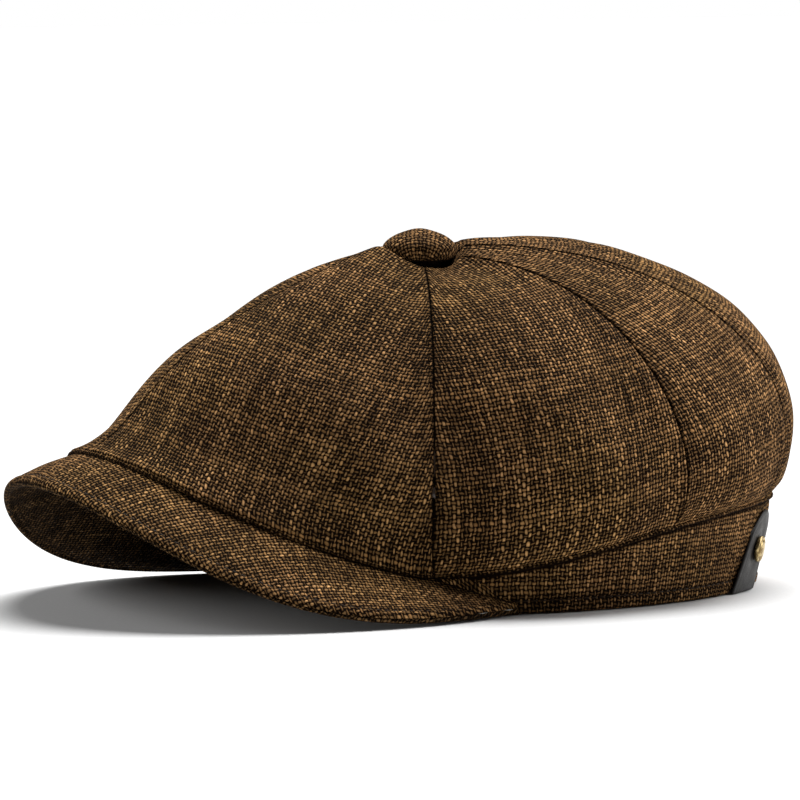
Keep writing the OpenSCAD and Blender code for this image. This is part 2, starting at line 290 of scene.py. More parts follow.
# ---------------------------------------------------------------- materials
class Graph:
    """Short way to write a material's nodes."""

    def __init__(self, name):
        self.material = bpy.data.materials.new(name)
        self.material.use_nodes = True
        self.tree = self.material.node_tree
        self.shader = self.tree.nodes["Principled BSDF"]

    def put(self, value, socket):
        if isinstance(value, bpy.types.NodeSocket):
            self.tree.links.new(value, socket)
        elif isinstance(value, (tuple, list)) and len(value) == 3 and socket.type == "RGBA":
            socket.default_value = (*value, 1)
        else:
            socket.default_value = value

    def node(self, kind, inputs=None, **settings):
        made = self.tree.nodes.new("ShaderNode" + kind)
        for key, value in settings.items():
            setattr(made, key, value)
        for key, value in (inputs or {}).items():
            self.put(value, made.inputs[key])
        return made

    def math(self, operation, *values, clamp=False):
        made = self.node("Math", dict(enumerate(values)), operation=operation, use_clamp=clamp)
        return made.outputs[0]

    def vector_math(self, operation, *values):
        made = self.node("VectorMath", dict(enumerate(values)), operation=operation)
        return made.outputs[0]

    def join(self, x, y, z=0.0):
        return self.node("CombineXYZ", {"X": x, "Y": y, "Z": z}).outputs[0]

    def split(self, vector):
        return self.node("SeparateXYZ", {"Vector": vector}).outputs

    def noise(self, vector, scale, detail=2.0, roughness=0.5):
        made = self.node("TexNoise", {"Vector": vector, "Scale": scale, "Detail": detail,
                                      "Roughness": roughness})
        return made.outputs[0]

    def blend(self, amount, first, second, kind="MIX"):
        made = self.node("Mix", data_type="RGBA", blend_type=kind)
        self.put(amount, made.inputs[0])
        self.put(first, made.inputs[6])
        self.put(second, made.inputs[7])
        return made.outputs[2]

    def spread(self, value, low, high, to_low=0.0, to_high=1.0, smooth=True):
        made = self.node("MapRange", {"Value": value, "From Min": low, "From Max": high,
                                      "To Min": to_low, "To Max": to_high})
        made.interpolation_type = "SMOOTHSTEP" if smooth else "LINEAR"
        return made.outputs[0]

    def finish(self, colour, roughness, height=None, depth=0.0, strength=1.0, **fixed):
        self.put(colour, self.shader.inputs["Base Color"])
        self.put(roughness, self.shader.inputs["Roughness"])
        if height is not None:
            made = self.node("Bump", {"Height": height, "Distance": depth, "Strength": strength})
            self.put(made.outputs[0], self.shader.inputs["Normal"])
        for key, value in fixed.items():
            self.put(value, self.shader.inputs[key.replace("_", " ")])
        return self.material


def place(g):
    """Position on the piece, in metres, which doesn't change with the view."""
    return g.node("TexCoord").outputs["Object"]


def woven_coords(g):
    """Across and along the cloth, in millimetres, from the piece's own map."""
    return g.node("UVMap", uv_map="Cloth").outputs[0]


def plain_weave(g, pitch_x, pitch_y, half_width, wobble):
    """Height, upper thread, thread tone and crossing tone of a plain weave."""
    at = woven_coords(g)
    drift = g.noise(at, 0.045, 2.0)
    drift = g.math("MULTIPLY", g.math("SUBTRACT", drift, 0.5), wobble)
    fine = g.noise(at, 0.35, 1.0)
    fine = g.math("MULTIPLY", g.math("SUBTRACT", fine, 0.5), 0.9)
    u, v, _ = g.split(at)
    x = g.math("ADD", g.math("DIVIDE", u, pitch_x), g.math("ADD", drift, fine))
    y = g.math("SUBTRACT", g.math("DIVIDE", v, pitch_y), g.math("SUBTRACT", drift, fine))
    column = g.math("FLOOR", x)
    row = g.math("FLOOR", y)
    a = g.math("SUBTRACT", g.math("FRACT", x), 0.5)
    b = g.math("SUBTRACT", g.math("FRACT", y), 0.5)
    half_sum = g.math("MULTIPLY", g.math("ADD", column, row), 0.5)
    odd = g.math("MULTIPLY", g.math("FRACT", half_sum), 4)
    over = g.math("SUBTRACT", odd, 1)
    warp_tone = thread_tone(g, column, y, 3.1)
    weft_tone = thread_tone(g, row, x, 7.7)
    warp = thread_height(g, a, b, over, half_width, warp_tone)
    weft = thread_height(g, b, a, g.math("MULTIPLY", over, -1), half_width, weft_tone)
    height = g.math("MAXIMUM", warp, weft)
    weft_on_top = g.math("GREATER_THAN", weft, warp)
    tone = g.node("Mix", {0: weft_on_top, 2: warp_tone, 3: weft_tone}, data_type="FLOAT").outputs[0]
    knot = g.node("TexWhiteNoise", {"Vector": g.join(column, row)}, noise_dimensions="2D").outputs[0]
    return height, weft_on_top, tone, knot


def thread_tone(g, number, along, seed):
    """Uneven tone of one thread: its own shade, changing slowly along it."""
    own = g.node("TexWhiteNoise", {"W": g.math("ADD", number, seed)}, noise_dimensions="1D").outputs[0]
    at = g.join(g.math("MULTIPLY", number, 5.3), g.math("MULTIPLY", along, 0.16), seed)
    slow = g.noise(at, 1.0, 2.0, 0.6)
    return g.math("ADD", g.math("MULTIPLY", own, 0.35), g.math("MULTIPLY", slow, 0.65))


def thread_height(g, across, along, over, half_width, tone):
    """Rounded thread that rises over one crossing and dives under the next."""
    half = g.spread(tone, 0.25, 0.75, half_width * 0.70, half_width * 1.32)
    side = g.math("DIVIDE", across, half)
    round_top = g.math("SUBTRACT", 1, g.math("MULTIPLY", side, side), clamp=True)
    round_top = g.math("SQRT", round_top)
    wave = g.math("MULTIPLY", g.math("COSINE", g.math("MULTIPLY", along, math.pi)), over)
    lift = g.math("ADD", g.math("MULTIPLY", wave, 0.36), 0.64)
    return g.math("MULTIPLY", round_top, lift)


# Thread spacing across and along the tweed, and half a thread's width as a share of it.
WEAVE_X, WEAVE_Y = 1.40, 1.52
THREAD_HALF = 0.33
THREAD_WOBBLE = 1.3
WEAVE_DEPTH = 0.0005


def tweed(name, warp_colour, weft_colour, painted_hollow_shade):
    """Coarse two-tone plain weave with uneven threads, painted highlights on the thread crests and painted
    shade in the dark gaps between them; flat and painted dark along seams and folds, in grooves and under
    overhangs, where its pieces mark painted shade.
    """
    g = Graph(name)
    height, weft_on_top, tone, knot = plain_weave(g, WEAVE_X, WEAVE_Y, THREAD_HALF, THREAD_WOBBLE)
    # The seam attribute read here is painted shade: where it is marked, along seams and folds, in grooves
    # and under overhangs, the cloth turns flat and near-black; sewn is one less it.
    seam = g.node("Attribute", attribute_name="painted_shade").outputs[2]
    sewn = g.math("SUBTRACT", 1, seam)
    at = place(g)
    thread = g.blend(weft_on_top, warp_colour, weft_colour)
    shade = g.spread(tone, 0.25, 0.75, 0.66, 1.38)
    patch = g.spread(g.noise(at, 38.0, 3.0), 0.3, 0.7, 0.80, 1.2)
    shade = g.math("MULTIPLY", shade, patch)
    fibre = g.noise(g.vector_math("SCALE", woven_coords(g)), 9.0, 2.0)
    shade = g.math("MULTIPLY", shade, g.spread(fibre, 0.3, 0.7, 0.88, 1.12))
    shade = g.math("MULTIPLY", shade, g.spread(knot, 0.0, 1.0, 0.50, 1.62, smooth=False))
    # Painted highlight on each thread's crest, and painted shade where it dives under the next thread.
    crest = g.spread(height, 0.42, 1.0, 0.0, 1.0)
    painted_crest_light = g.spread(crest, 0.0, 1.0, 0.28, 2.1, smooth=False)
    thread = g.blend(1.0, thread, g.math("MULTIPLY", shade, painted_crest_light), "MULTIPLY")
    hue = g.spread(g.noise(at, 22.0, 2.0), 0.42, 0.62)
    thread = g.blend(g.math("MULTIPLY", hue, 0.35), thread,
                     g.blend(1.0, thread, (0.92, 1.0, 0.80), "MULTIPLY"))
    # Near-black painted shade in the gaps between threads and wherever painted shade is marked.
    solid = g.math("MULTIPLY", g.spread(height, 0.32, 0.74), sewn)
    colour = g.blend(solid, painted_hollow_shade, thread)
    g.material.diffuse_color = (*warp_colour, 1)
    height = g.math("MULTIPLY", height, sewn)
    return g.finish(colour, 0.95, height, WEAVE_DEPTH, 1.0, Specular_IOR_Level=0.03)


def leather(name, base, worn):
    """Smooth finished leather with a fine grain and rubbed high spots."""
    g = Graph(name)
    at = place(g)
    cells = g.node("TexVoronoi", {"Vector": at, "Scale": 1500.0}, feature="DISTANCE_TO_EDGE").outputs[0]
    pebble = g.spread(cells, 0.0, 0.35)
    crease = g.noise(at, 260.0, 4.0, 0.6)
    rub = g.spread(g.noise(at, 90.0, 3.0), 0.45, 0.7)
    colour = g.blend(rub, base, worn)
    colour = g.blend(g.spread(pebble, 0.0, 0.6, 0.35, 0.0), colour, (0.01, 0.009, 0.008))
    height = g.math("ADD", g.math("MULTIPLY", pebble, 0.6), g.math("MULTIPLY", crease, 0.6))
    rough = g.spread(crease, 0.3, 0.7, 0.48, 0.62)
    return g.finish(colour, rough, height, 0.00012, 0.7, Specular_IOR_Level=0.3, Coat_Weight=0.04,
                    Coat_Roughness=0.4)


def antique_brass(name):
    """Brass darkened and rubbed bright in patches, and brushed."""
    g = Graph(name)
    at = place(g)
    stain = g.spread(g.noise(at, 420.0, 5.0, 0.65), 0.38, 0.62)
    colour = g.blend(stain, (0.20, 0.135, 0.055), (0.62, 0.47, 0.22))
    u, v, w = g.split(at)
    brushed = g.noise(g.join(g.math("MULTIPLY", u, 900), g.math("MULTIPLY", v, 900),
                             g.math("MULTIPLY", w, 6000)), 1.0, 2.0)
    rough = g.spread(g.math("ADD", stain, brushed), 0.4, 1.6, 0.46, 0.24)
    return g.finish(colour, rough, brushed, 0.00003, 0.5, Metallic=1.0)


def twill(name, light, dark, pitch=0.55):
    """Fine diagonal ribs."""
    g = Graph(name)
    u, v, _ = g.split(woven_coords(g))
    rib = g.math("SINE", g.math("MULTIPLY", g.math("ADD", u, v), 2 * math.pi / (pitch * 1.41)))
    cut = g.math("SINE", g.math("MULTIPLY", g.math("SUBTRACT", u, v), 2 * math.pi / (pitch * 2.2)))
    height = g.math("ADD", g.math("MULTIPLY", rib, 0.5), g.math("MULTIPLY", cut, 0.18))
    patch = g.noise(place(g), 45.0, 3.0)
    colour = g.blend(g.spread(height, -0.6, 0.6), dark, light)
    colour = g.blend(1.0, colour, g.spread(patch, 0.3, 0.7, 0.82, 1.15), "MULTIPLY")
    return g.finish(colour, 0.8, height, 0.00012, 0.8, Specular_IOR_Level=0.25, Sheen_Weight=0.1)


def satin(name, light, dark):
    """Smooth lining with fine crosswise floats."""
    g = Graph(name)
    u, v, _ = g.split(woven_coords(g))
    streak = g.noise(g.join(g.math("MULTIPLY", u, 3.5), g.math("MULTIPLY", v, 0.25)), 1.0, 3.0)
    float_line = g.math("SINE", g.math("MULTIPLY", u, 2 * math.pi / 0.4))
    colour = g.blend(g.spread(streak, 0.3, 0.7), dark, light)
    height = g.math("ADD", g.math("MULTIPLY", float_line, 0.25), streak)
    return g.finish(colour, g.spread(streak, 0.3, 0.7, 0.30, 0.42), height, 0.00006, 0.5,
                    Specular_IOR_Level=0.5, Sheen_Weight=0.25, Sheen_Roughness=0.3, Anisotropic=0.4)


def sewing_thread(name, colour):
    """Twisted thread, seen on its own stitches."""
    g = Graph(name)
    twist = g.noise(place(g), 2600.0, 2.0)
    shade = g.blend(g.spread(twist, 0.35, 0.65), tuple(c * 0.6 for c in colour), colour)
    return g.finish(shade, 0.6, twist, 0.00008, 0.8, Specular_IOR_Level=0.1)


def canvas(name, light, dark, scale=1900.0):
    """Stiff cloth or webbing on a kept CAD node, which has no cloth map: ribs by position."""
    g = Graph(name)
    x, y, z = g.split(place(g))
    rib = g.math("SINE", g.math("MULTIPLY", z, 2 * math.pi * scale * 0.5))
    cross = g.math("SINE", g.math("MULTIPLY", g.math("ADD", x, y), 2 * math.pi * scale * 0.4))
    height = g.math("MULTIPLY", rib, cross)
    colour = g.blend(g.spread(height, -0.8, 0.8), dark, light)
    return g.finish(colour, 0.85, height, 0.0001, 0.7, Specular_IOR_Level=0.2)


def moulded(name, colour):
    """Pale moulded board with a fine grain."""
    g = Graph(name)
    at = place(g)
    grain = g.noise(at, 900.0, 4.0)
    shade = g.blend(g.spread(g.noise(at, 30.0, 2.0), 0.35, 0.65), tuple(c * 0.93 for c in colour), colour)
    return g.finish(shade, g.spread(grain, 0.3, 0.7, 0.5, 0.62), grain, 0.00005, 0.5)


def plain_metal(name, colour, rough):
    """Brushed sheet or wire metal."""
    g = Graph(name)
    x, y, z = g.split(place(g))
    lines = g.noise(g.join(g.math("MULTIPLY", x, 300), g.math("MULTIPLY", y, 6000), z), 1.0, 2.0)
    shade = g.blend(g.spread(lines, 0.3, 0.7), tuple(c * 0.85 for c in colour), colour)
    return g.finish(shade, g.spread(lines, 0.3, 0.7, rough, rough + 0.12), lines, 0.00002, 0.4,
                    Metallic=1.0)


def floor_paper(name):
    """White studio paper."""
    g = Graph(name)
    tooth = g.noise(place(g), 700.0, 3.0)
    colour = g.blend(g.spread(tooth, 0.3, 0.7), (0.67, 0.67, 0.67), (0.70, 0.70, 0.70))
    return g.finish(colour, 0.9, tooth, 0.00003, 0.2, Specular_IOR_Level=0.1)


# Linear colours.
TWEED = tweed("tweed_cloth", (0.148, 0.081, 0.034), (0.104, 0.054, 0.021), (0.005, 0.0022, 0.001))
# The brim's underside: a darker copy of the tweed, painted shade for the shadow under the brim.
SHADED_UNDER_TWEED = tweed("brim_under_cloth", (0.060, 0.034, 0.015), (0.044, 0.024, 0.010), (0.004, 0.002, 0.001))
PATCH = canvas("patch_cloth", (0.07, 0.05, 0.035), (0.035, 0.024, 0.016))
SWEAT = twill("sweatband_cotton", (0.045, 0.033, 0.024), (0.020, 0.014, 0.010))
LINING = satin("lining_satin", (0.060, 0.036, 0.022), (0.034, 0.020, 0.012))
LEATHER = leather("tab_leather", (0.013, 0.011, 0.010), (0.028, 0.025, 0.022))
BRASS = antique_brass("rivet_brass")
THREAD = sewing_thread("sewing_thread", (0.032, 0.019, 0.010))
BOARD = moulded("brim_board_plastic", (0.62, 0.60, 0.54))
STIFF = canvas("stiffener_canvas", (0.16, 0.13, 0.09), (0.09, 0.07, 0.05))
WEBBING = canvas("elastic_webbing", (0.40, 0.38, 0.33), (0.24, 0.22, 0.19), 1200.0)
CORE = plain_metal("button_core_metal", (0.62, 0.62, 0.62), 0.30)
STEEL = plain_metal("button_metal", (0.035, 0.030, 0.026), 0.55)


# ---------------------------------------------------------------- mesh helpers
# No piece goes below this height, in millimetres.
LOWEST = 0.15


def grid_faces(rows, cols, flip):
    i = np.arange(rows - 1)[:, None] * cols
    j = np.arange(cols - 1)[None, :]
    a = i + j
    order = [a, a + 1, a + cols + 1, a + cols]
    if flip:
        order.reverse()
    return np.stack(order, -1).reshape(-1, 4)


def mesh_piece(name, points, faces, material, body=CAP, uv=None, shade=None):
    """A mesh from points in millimetres, riding on a body; shade marks painted shade along its seams and
    folds, in its grooves and under overhangs.
    """
    mesh = bpy.data.meshes.new(name)
    points = np.array(points, float)
    points[..., 2] = np.maximum(points[..., 2], LOWEST)
    mesh.from_pydata((points.reshape(-1, 3) * MM).tolist(), [], np.asarray(faces).tolist())
    if uv is not None:
        layer = mesh.uv_layers.new(name="Cloth")
        corner = np.zeros(len(mesh.loops), np.int32)
        mesh.loops.foreach_get("vertex_index", corner)
        layer.data.foreach_set("uv", np.asarray(uv, np.float32).reshape(-1, 2)[corner].ravel())
    if shade is not None:
        marks = mesh.attributes.new("painted_shade", "FLOAT", "POINT")
        marks.data.foreach_set("value", np.asarray(shade, np.float32).ravel())
    mesh.shade_smooth()
    return add_piece(name, mesh, material, body)


def add_piece(name, mesh, material, body):
    mesh.materials.append(material)
    piece = bpy.data.objects.new(name, mesh)
    bpy.context.scene.collection.objects.link(piece)
    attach(piece, body)
    return piece


def sheet_piece(name, points, uv, material, thickness, flip=False, shade=None):
    """A sheet of cloth from a grid of points, thickened inward."""
    rows, cols = points.shape[:2]
    piece = mesh_piece(name, points, grid_faces(rows, cols, flip), material, CAP, uv, shade)
    thicken(piece, thickness)
    return piece


def thicken(piece, thickness):
    solid = piece.modifiers.new("thickness", "SOLIDIFY")
    solid.thickness = thickness * MM
    solid.offset = -1
    solid.use_rim = True
    return solid


def arc_length(points, axis):
    """Distance run along one axis of a grid of points."""
    step = np.linalg.norm(np.diff(points, axis=axis), axis=-1)
    start = np.zeros_like(np.take(step, [0], axis=axis))
    return np.concatenate([start, np.cumsum(step, axis=axis)], axis=axis)


def stitches(name, points, normals, length, gap, radius):
    """A row of sewn stitches along a line: short rounded threads that dip at both ends."""
    run = arc_length(points, 0)
    count = int(run[-1] // (length + gap))
    rings, sides = 6, 6
    verts, faces = [], []
    turn = np.linspace(0, 2 * math.pi, sides, endpoint=False)
    for k in range(count):
        start = (k + 0.5) * run[-1] / count - length / 2
        s = start + length * np.linspace(0, 1, rings)
        centre = np.stack([np.interp(s, run, points[:, i]) for i in range(3)], -1)
        up = unit(np.stack([np.interp(s, run, normals[:, i]) for i in range(3)], -1))
        ahead = unit(np.gradient(centre, axis=0))
        side = unit(np.cross(up, ahead))
        swell = np.sin(np.linspace(0.16, math.pi - 0.16, rings))
        centre = centre + up * (swell * radius * 1.1 - radius * 0.75)[:, None]
        size = radius * (0.55 + 0.45 * swell)
        base = len(verts)
        for i in range(rings):
            for angle in turn:
                spoke = side[i] * math.cos(angle) + up[i] * math.sin(angle) * 0.8
                verts.append(centre[i] + size[i] * spoke)
        for i in range(rings - 1):
            for j in range(sides):
                a = base + i * sides + j
                b = base + i * sides + (j + 1) % sides
                faces.append([a, b, b + sides, a + sides])
        faces.append([base + j for j in reversed(range(sides))])
        faces.append([base + (rings - 1) * sides + j for j in range(sides)])
    mesh = bpy.data.meshes.new(name)
    mesh.from_pydata((np.array(verts) * MM).tolist(), [], faces)
    mesh.shade_smooth()
    return add_piece(name, mesh, THREAD, CAP)


# ---------------------------------------------------------------- crown
# Places of the columns beside a seam, in millimetres from it.
EDGE_STEPS = np.array([0, 0.18, 0.38, 0.6, 0.9, 1.3, 1.8, 2.5, 3.4, 4.5, 5.6, 6.6, 7.4, 8.4])
MIDDLE_STEPS = 46
CROWN_ROWS = 110


def panel_columns(start, end, t):
    """Angle of each column of each row, closer together beside the seams, and its place in mm."""
    swing = (1 - t[:, None]) ** 2
    table = mix(start[0] + start[1] * swing, end[0] + end[1] * swing, np.linspace(0, 1, 181)[None, :])
    line = crown_pt(table, t[:, None])
    run = arc_length(line, 1)
    width = run[:, -1:]
    squeeze = np.minimum(1, width / 2 / (EDGE_STEPS[-1] + 3))
    left = EDGE_STEPS[None, :] * squeeze
    inner = np.linspace(0, 1, MIDDLE_STEPS + 2)[1:-1][None, :]
    middle = left[:, -1:] + inner * (width - 2 * left[:, -1:])
    across = np.concatenate([left, middle, width - left[:, ::-1]], 1)
    phi = np.stack([np.interp(across[i], run[i], table[i]) for i in range(len(t))])
    return phi, across, width


def panel_lift(points, edge, width, t):
    """How far the cloth stands off its plain dome, edge being the distance to the nearest seam."""
    clear = ease((from_axis(points) - BUTTON_R + 2) / 10)
    crease = -0.8 * bump(edge, 0.30)
    rolled = 0.20 * bump(edge - 1.2, 0.8)
    allowance = 0.30 * ease((7.4 - edge) / 1.4)
    puff = PUFF * ease(edge / np.maximum(width * 0.42, 1)) * ease(t * 3)
    pucker = 0.10 * np.sin(points[..., 2] * 0.62 + points[..., 1] * 0.31) * bump(edge - 2.5, 3)
    soft = ripple(points, 5, 62, 0.75) + ripple(points, 9, 26, 0.22)
    front = unit(points - np.array([0, BUTTON_Y, points[..., 2].min()]))[..., 1]
    front = np.minimum(front, 0) ** 2
    swell = 0
    for count, size in enumerate(FRONT_SHAPE, 1):
        swell = swell + front * size * np.sin(count * math.pi * t)
    return (crease + rolled + allowance + puff + pucker + swell + soft * ease(edge / 6)) * clear


def foot_rows(foot, phi):
    """The lower edge turns under: back along the brim in front, in behind the band elsewhere."""
    size = np.abs(phi)
    out = unit((foot - xyz(0, BUTTON_Y, 0)) * np.array([1, 1, 0]))
    up = np.array([0, 0, 1.0])
    front = ease((FOLD_PHI - size) / 4)[..., None]
    rows = []
    for reach, drop in ((0.6, 0.25), (0.85, 0.75), (0.7, 1.3), (-0.35, 1.7)):
        rows.append(foot + out * reach - up * drop)
    for inward in (2.2, 5.0, 9.0):
        w = np.maximum(fold_w(phi) - inward / 62.0, 0)
        on_brim = brim_pt(phi, w, BRIM_T + 0.35)
        in_band = foot - out * (1.2 + inward * 0.08) - up * (1.6 + inward * 0.10)
        rows.append(mix(in_band, on_brim, front))
    return np.stack(rows)


def crown_panel(name, start, end):
    t = np.linspace(0.035, 1, CROWN_ROWS) ** 0.96
    phi, across, width = panel_columns(start, end, t)
    rows = t[:, None] + 0 * phi
    base = crown_pt(phi, rows)
    edge = np.minimum(across, width - across)
    lift = panel_lift(base, edge, width, rows)
    lift = lift * ease((1 - rows) / 0.05 + 0.25)
    points = base + crown_normal(phi, np.minimum(rows, 0.992)) * lift[..., None]
    middle = crown_pt(phi[:, phi.shape[1] // 2], t)
    down = arc_length(middle, 0)[:, None] + 0 * phi
    uv = np.stack([across - width / 2, down], -1)
    tuck = foot_rows(points[-1], phi[-1])
    tuck_down = down[-1] + np.array([0.8, 1.4, 2.0, 3.2, 5.0, 7.8, 11.8])[:, None]
    tuck_uv = np.stack([np.broadcast_to(across[-1] - width[-1] / 2, tuck_down.shape), tuck_down], -1)
    points = np.concatenate([points, tuck])
    uv = np.concatenate([uv, tuck_uv])
    # The rolled lip gets painted shade: light where it starts, darker as it turns under.
    tuck_painted_shade = np.ones(tuck.shape[:2])
    tuck_painted_shade[0] = 0.15
    tuck_painted_shade[1] = 0.6
    # Painted shade in the creases along each seam.
    shade = np.concatenate([0.95 * bump(edge, 0.45) * ease(rows * 12), tuck_painted_shade])
    piece = sheet_piece(name + "_cloth", points, uv, TWEED, 1.0, flip=True,
                        shade=shade)
    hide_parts(name)
    return piece


def crown():
    names = ("front", "side", "rear_side", "rear")
    for name, start, end in zip(names, SEAMS, SEAMS[1:]):
        crown_panel(f"crown_{name}_left", start, end)
        crown_panel(f"crown_{name}_right", (-end[0], -end[1]), (-start[0], -start[1]))


# ---------------------------------------------------------------- brim
def straight_grain(points, out):
    """Cloth map with the threads running straight across and along the cap, from the middle out."""
    seam = points[0]
    middle = len(seam) // 2
    step = np.diff(seam, axis=0)
    length = np.linalg.norm(step, axis=-1)
    level = np.maximum(np.hypot(step[:, 0], step[:, 1]), 0.5 * length + 1e-6)
    across = np.append(0, np.cumsum(length * step[:, 0] / level))
    along = np.append(0, np.cumsum(-length * step[:, 1] / level))
    run = arc_length(points, 0)
    flat = unit(out * np.array([1, 1, 0]))
    u = across - across[middle] + run * flat[:, 0]
    v = along - along[middle] - run * flat[:, 1]
    return np.stack([u, v], -1)


BRIM_FLAT_ROWS = 64


def brim_cover(name, side, material, cols=260):
    """Top or under cover: it turns round the brim's edge and meets the other cover there."""
    phi = np.linspace(-BRIM_PHI * 0.996, BRIM_PHI * 0.996, cols)
    flat = np.concatenate([np.linspace(0, 0.86, 40), np.linspace(0.87, 0.985, 24)])
    reach = np.linalg.norm(brim_pt(phi, np.ones(cols), 0) - brim_pt(phi, np.zeros(cols), 0), axis=-1)
    round_r = BRIM_T / 2
    inset = np.clip(round_r / np.maximum(reach, 1), 0, 0.5)
    out = unit((brim_edge(phi) - ring(phi, 0.6, seam_z(phi))) * np.array([1, 1, 0.6]))
    mid = BRIM_T / 2
    rows = []
    for w in flat:
        share = w / 0.985 * (1 - inset)
        p = brim_pt(phi, share, mid + side * round_r)
        edge = (1 - inset - share) * reach
        dent = -0.35 * bump(edge - 1.3, 0.5) + 0.15 * bump(edge + 0.2, 0.9)
        soft = ripple(p, 21, 38, 0.28) + ripple(p, 23, 9, 0.05)
        rows.append(p + np.array([0, 0, side]) * (dent + soft * ease(edge / 8))[:, None])
    centre = brim_pt(phi, 1 - inset, mid)
    for angle in np.linspace(12, 84, 9):
        turn = out * (round_r * sind(angle)) + np.array([0, 0, side]) * (round_r * cosd(angle))
        rows.append(centre + turn)
    rows.append(centre + out * (round_r * 0.62))
    points = np.stack(rows)
    w = np.concatenate([flat / 0.985, np.ones(len(rows) - len(flat))])[:, None]
    from_fold = (w - fold_w(phi)) * reach
    # Painted shadow on the top cover where the crown's lip overhangs the fold, and painted shade in the
    # dent near the edge.
    shade = 0.9 * ease((3.0 - from_fold) / 3.0) if side > 0 else np.zeros(points.shape[:2])
    shade = np.maximum(shade, 0.55 * bump(np.maximum((1 - inset - w) * reach, 0) - 1.3, 0.3))
    if side < 0:
        wrap = [points[0] - out * 0.4 + np.array([0, 0, rise]) for rise in (3.2, 1.6)]
        points = np.concatenate([np.stack(wrap), points])
        shade = np.concatenate([np.zeros((len(wrap), cols)), shade])
    piece = sheet_piece(name + "_cloth", points, straight_grain(points, out), material, 0.8,
                        flip=side > 0, shade=shade)
    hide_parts(name)
    return points, phi


def brim():
    top, phi = brim_cover("brim_top_cover", 1, TWEED)
    brim_cover("brim_under_cover", -1, SHADED_UNDER_TWEED)
    run = arc_length(top[:BRIM_FLAT_ROWS], 0)
    places = np.arange(BRIM_FLAT_ROWS)
    row = np.stack([np.interp(run[-1, j] - 1.35, run[:, j], places) for j in range(len(phi))])
    low = np.floor(row).astype(int)
    part = (row - low)[:, None]
    cols = np.arange(len(phi))
    line = mix(top[low, cols], top[np.minimum(low + 1, BRIM_FLAT_ROWS - 1), cols], part)
    normals = unit(np.cross(np.gradient(line, axis=0), top[60, cols] - top[50, cols]))
    normals *= np.sign(normals[:, 2:3])
    stitches("brim_topstitch", line, normals, 2.3, 0.75, 0.27)


# ---------------------------------------------------------------- band
# Rows of the band's face, from just above the crown seam down to the foot.
BAND_SHARES = np.concatenate([[1.06, 1.03], np.linspace(1.0, 0.0, 44)])
BAND_FACE_ROWS = len(BAND_SHARES)
HEM_UP = 3.1


def band_rows(phi, gather):
    """Rows from under the crown seam down the face, round the hem and up inside."""
    rows = []
    height = band_top_z(phi) - band_low(phi)
    for share in BAND_SHARES:
        p = band_pt(phi, share, 0)
        z_up = share * height
        dent = -0.55 * bump(z_up - HEM_UP, 0.5) + 0.18 * bump(z_up - 1.6, 1.0)
        tuck = -1.7 * ease((share - 0.93) / 0.06)
        soft = (ripple(p, 31, 30, 0.30) + ripple(p, 33, 11, 0.07)) * ease(share * 5) * ease((1 - share) * 6)
        out = unit((p - np.array([0, RING_Y, 0])) * np.array([1, 1, 0]))
        folds = gather * ease((1 - share) * 4 + 0.2)
        rows.append(p + out * (dent + tuck + soft + folds)[:, None])
    foot = rows[-1]
    out = unit((foot - np.array([0, RING_Y, 0])) * np.array([1, 1, 0]))
    up = np.array([0, 0, 1.0])
    on_table = ease((np.abs(phi) - BRIM_PHI + 3) / 4)[:, None]
    r = mix(0.35, 1.15, on_table)
    for angle in (30, 60, 90, 120, 150, 180):
        rows.append(foot - out * r * (1 - cosd(angle)) * 0.6 - up * r * sind(angle))
    rows.append(rows[-1] + up * 3)
    rows.append(rows[-1] + up * 3)
    return np.stack(rows)


def band_piece(name, start, end, cols, gathers=0.0):
    phi = np.linspace(start, end, cols)
    away = np.minimum(phi - start, end - phi)
    pulls = gathers * np.sin(phi * 2 * math.pi / 5.2 + 0.8 * np.sin(phi * 0.31))
    gather = pulls * ease(away / 3) - 0.9 * bump(away, 0.35)
    points = band_rows(phi, gather)
    along = arc_length(points[20:21], 1) + 0 * points[..., 0]
    down = arc_length(points, 0)
    level = BAND_BACK_H - points[..., 2]
    level[BAND_FACE_ROWS:] = level[BAND_FACE_ROWS - 1] + (down[BAND_FACE_ROWS:] - down[BAND_FACE_ROWS - 1])
    shares = np.append(BAND_SHARES, np.zeros(len(points) - BAND_FACE_ROWS))[:, None]
    height = band_top_z(phi) - band_low(phi)
    # Painted shade under the crown's overhang at the top, in the hem's groove, and in the seams at the
    # piece's ends.
    shade = ease((2.8 - (1 - shares) * height) / 1.3)
    shade = np.maximum(shade, 0.6 * bump(shares * height - HEM_UP, 0.35) * (np.abs(phi) > BRIM_PHI - 3))
    shade = np.maximum(shade, 0.9 * bump(away, 0.25))
    piece = sheet_piece(name + "_cloth", points, np.stack([along, level], -1), TWEED, 0.8,
                        flip=True, shade=shade)
    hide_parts(name)
    return piece


def hem_stitches(name, start, end):
    phi = np.linspace(start, end, 300)
    share = HEM_UP / (band_top_z(phi) - BAND_FOOT)
    line = ring(phi, -0.2 + band_lean(phi) * share, BAND_FOOT + HEM_UP)
    out = unit(line - np.array([0, RING_Y, BAND_FOOT + HEM_UP]))
    stitches(name, line, out, 2.3, 0.75, 0.26)


def band():
    band_piece("band_left", 0.1, BACK_PHI - 0.1, 620)
    band_piece("band_right", -BACK_PHI + 0.1, -0.1, 620)
    band_piece("band_back", BACK_PHI + 0.1, 360 - BACK_PHI - 0.1, 300, 0.55)
    hem_stitches("band_hem_stitch_left", 71.5, 131.5)
    hem_stitches("band_hem_stitch_right", -131.5, -71.5)
    hem_stitches("band_hem_stitch_back", 146.5, 213.5)


